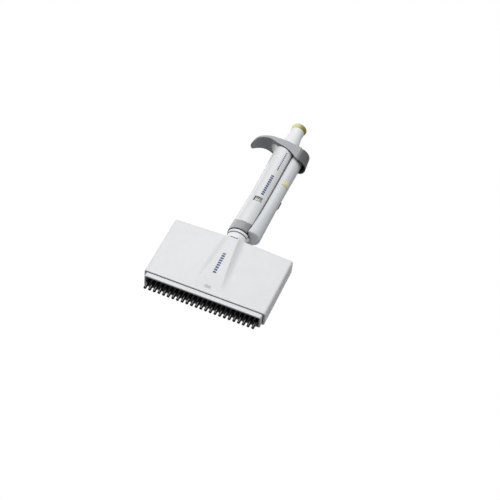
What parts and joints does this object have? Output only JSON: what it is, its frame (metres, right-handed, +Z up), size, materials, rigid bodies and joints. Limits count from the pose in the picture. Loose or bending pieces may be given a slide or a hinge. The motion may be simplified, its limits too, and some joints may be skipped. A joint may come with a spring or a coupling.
{
  "type": "multichannel pipette",
  "caption": "Hand-held multichannel pipette: flat head with a row of tip cones, swivelling under a grip with finger hook, ejector rail, volume counter and a press-and-turn button.",
  "frame": {"origin": "on the pipette's long axis, level with the open ends of the tip cones", "axes": "+Z up the long axis to the control button, +X along the row of cones towards the ejector rail, front (counter window) faces -Y"},
  "size_m": [0.1162, 0.0244, 0.2453],
  "materials": {
    "white_shell": "satin moulded plastic",
    "white_strip": "satin moulded plastic",
    "grey_shell": "fine matte moulded plastic",
    "black_plastic": "smooth black plastic",
    "yellow_plastic": "glossy moulded plastic",
    "number_wheel": "matte plastic",
    "clear_pane": "clear plastic",
    "inner_plastic": "moulded plastic",
    "aluminium_parts": "machined",
    "steel_parts": "ground",
    "spring_steel": "drawn wire",
    "brass_bush": "machined",
    "seal_rubber": "matte"
  },
  "bodies": {
    "handle": {"lower_collar": "grey_shell", "grip_front_shell": "white_shell", "grip_rear_shell": "white_shell", "calibration_plug": "grey_shell", "window_bezel": "grey_shell", "window_pane": "clear_pane", "chassis_tube": "inner_plastic", "plunger_bush": "brass_bush", "counter_arbor": "inner_plastic", "counter_retainer": "inner_plastic", "blowout_washer": "inner_plastic", "blowout_spring": "spring_steel", "spring_bracket": "inner_plastic", "ejector_spring": "spring_steel", "return_spring": "spring_steel", "finger_collar": "grey_shell"},
    "head": {"head_neck": "inner_plastic", "swivel_clip": "steel_parts", "neck_screws": "steel_parts", "upper_bridge": "aluminium_parts", "guide_rods": "steel_parts", "spacer_posts": "steel_parts", "cylinder_block": "aluminium_parts", "seal_plate": "inner_plastic", "piston_seals": "seal_rubber", "nozzle_plate": "black_plastic", "tip_cones": "black_plastic", "carriage_springs": "spring_steel", "head_front_cover": "white_shell", "head_rear_cover": "white_shell", "cover_long_screws": "steel_parts", "cover_short_screws": "steel_parts"},
    "piston_carriage": {"piston_crosshead": "aluminium_parts", "crosshead_bushes": "brass_bush", "piston_clamp": "aluminium_parts", "pistons": "steel_parts", "coupling_rod": "steel_parts"},
    "ejector_frame": {"ejector_beam": "white_shell", "ejector_rods": "steel_parts", "ejector_strip": "white_strip", "stripper_plate": "black_plastic"},
    "ejector": {"transfer_ring": "white_shell", "ejector_rail": "white_shell", "rail_catch": "black_plastic", "volume_mark": "yellow_plastic", "ejector_key": "grey_shell"},
    "plunger": {"plunger_rod": "steel_parts", "spring_seat": "steel_parts"},
    "dial": {"control_button": "white_shell", "button_cap": "yellow_plastic"},
    "low_wheel": {"counter_wheel_low": "number_wheel"},
    "middle_wheel": {"counter_wheel_middle": "number_wheel"},
    "high_wheel": {"counter_wheel_high": "number_wheel"}
  },
  "joints": [
    {"name": "head_swivel", "type": "hinge", "parent": "handle", "child": "head", "pos_m": [0, 0, 0.092], "axis": [0, 0, 1], "continuous": true},
    {"name": "button_press", "type": "slide", "parent": "handle", "child": "plunger", "axis": [0, 0, -1], "range_m": [0, 0.014], "stiffness_N_per_m": 150, "springref_m": -0.006, "deforming": ["return_spring"]},
    {"name": "dial_turn", "type": "hinge", "parent": "plunger", "child": "dial", "pos_m": [0, 0, 0.23], "axis": [0, 0, 1], "continuous": true},
    {"name": "low_wheel_turn", "type": "hinge", "parent": "handle", "child": "low_wheel", "pos_m": [0, 0, 0.132], "axis": [0, 0, 1], "continuous": true},
    {"name": "middle_wheel_turn", "type": "hinge", "parent": "handle", "child": "middle_wheel", "pos_m": [0, 0, 0.134], "axis": [0, 0, 1], "continuous": true},
    {"name": "high_wheel_turn", "type": "hinge", "parent": "handle", "child": "high_wheel", "pos_m": [0, 0, 0.136], "axis": [0, 0, 1], "continuous": true},
    {"name": "piston_travel", "type": "slide", "parent": "head", "child": "piston_carriage", "axis": [0, 0, -1], "range_m": [0, 0.014], "deforming": ["carriage_springs"]},
    {"name": "ejector_press", "type": "slide", "parent": "handle", "child": "ejector", "axis": [0, 0, -1], "range_m": [0, 0.0055], "stiffness_N_per_m": 150, "springref_m": -0.006, "deforming": ["ejector_spring"]},
    {"name": "strip_travel", "type": "slide", "parent": "head", "child": "ejector_frame", "axis": [0, 0, -1], "range_m": [0, 0.0055]}
  ],
  "couplings": [
    {"joint": "piston_travel", "follows": "button_press", "ratio": 1},
    {"joint": "strip_travel", "follows": "ejector_press", "ratio": 1},
    {"joint": "low_wheel_turn", "follows": "dial_turn", "ratio": 1},
    {"joint": "middle_wheel_turn", "follows": "dial_turn", "ratio": 0.1},
    {"joint": "high_wheel_turn", "follows": "dial_turn", "ratio": 0.01}
  ]
}
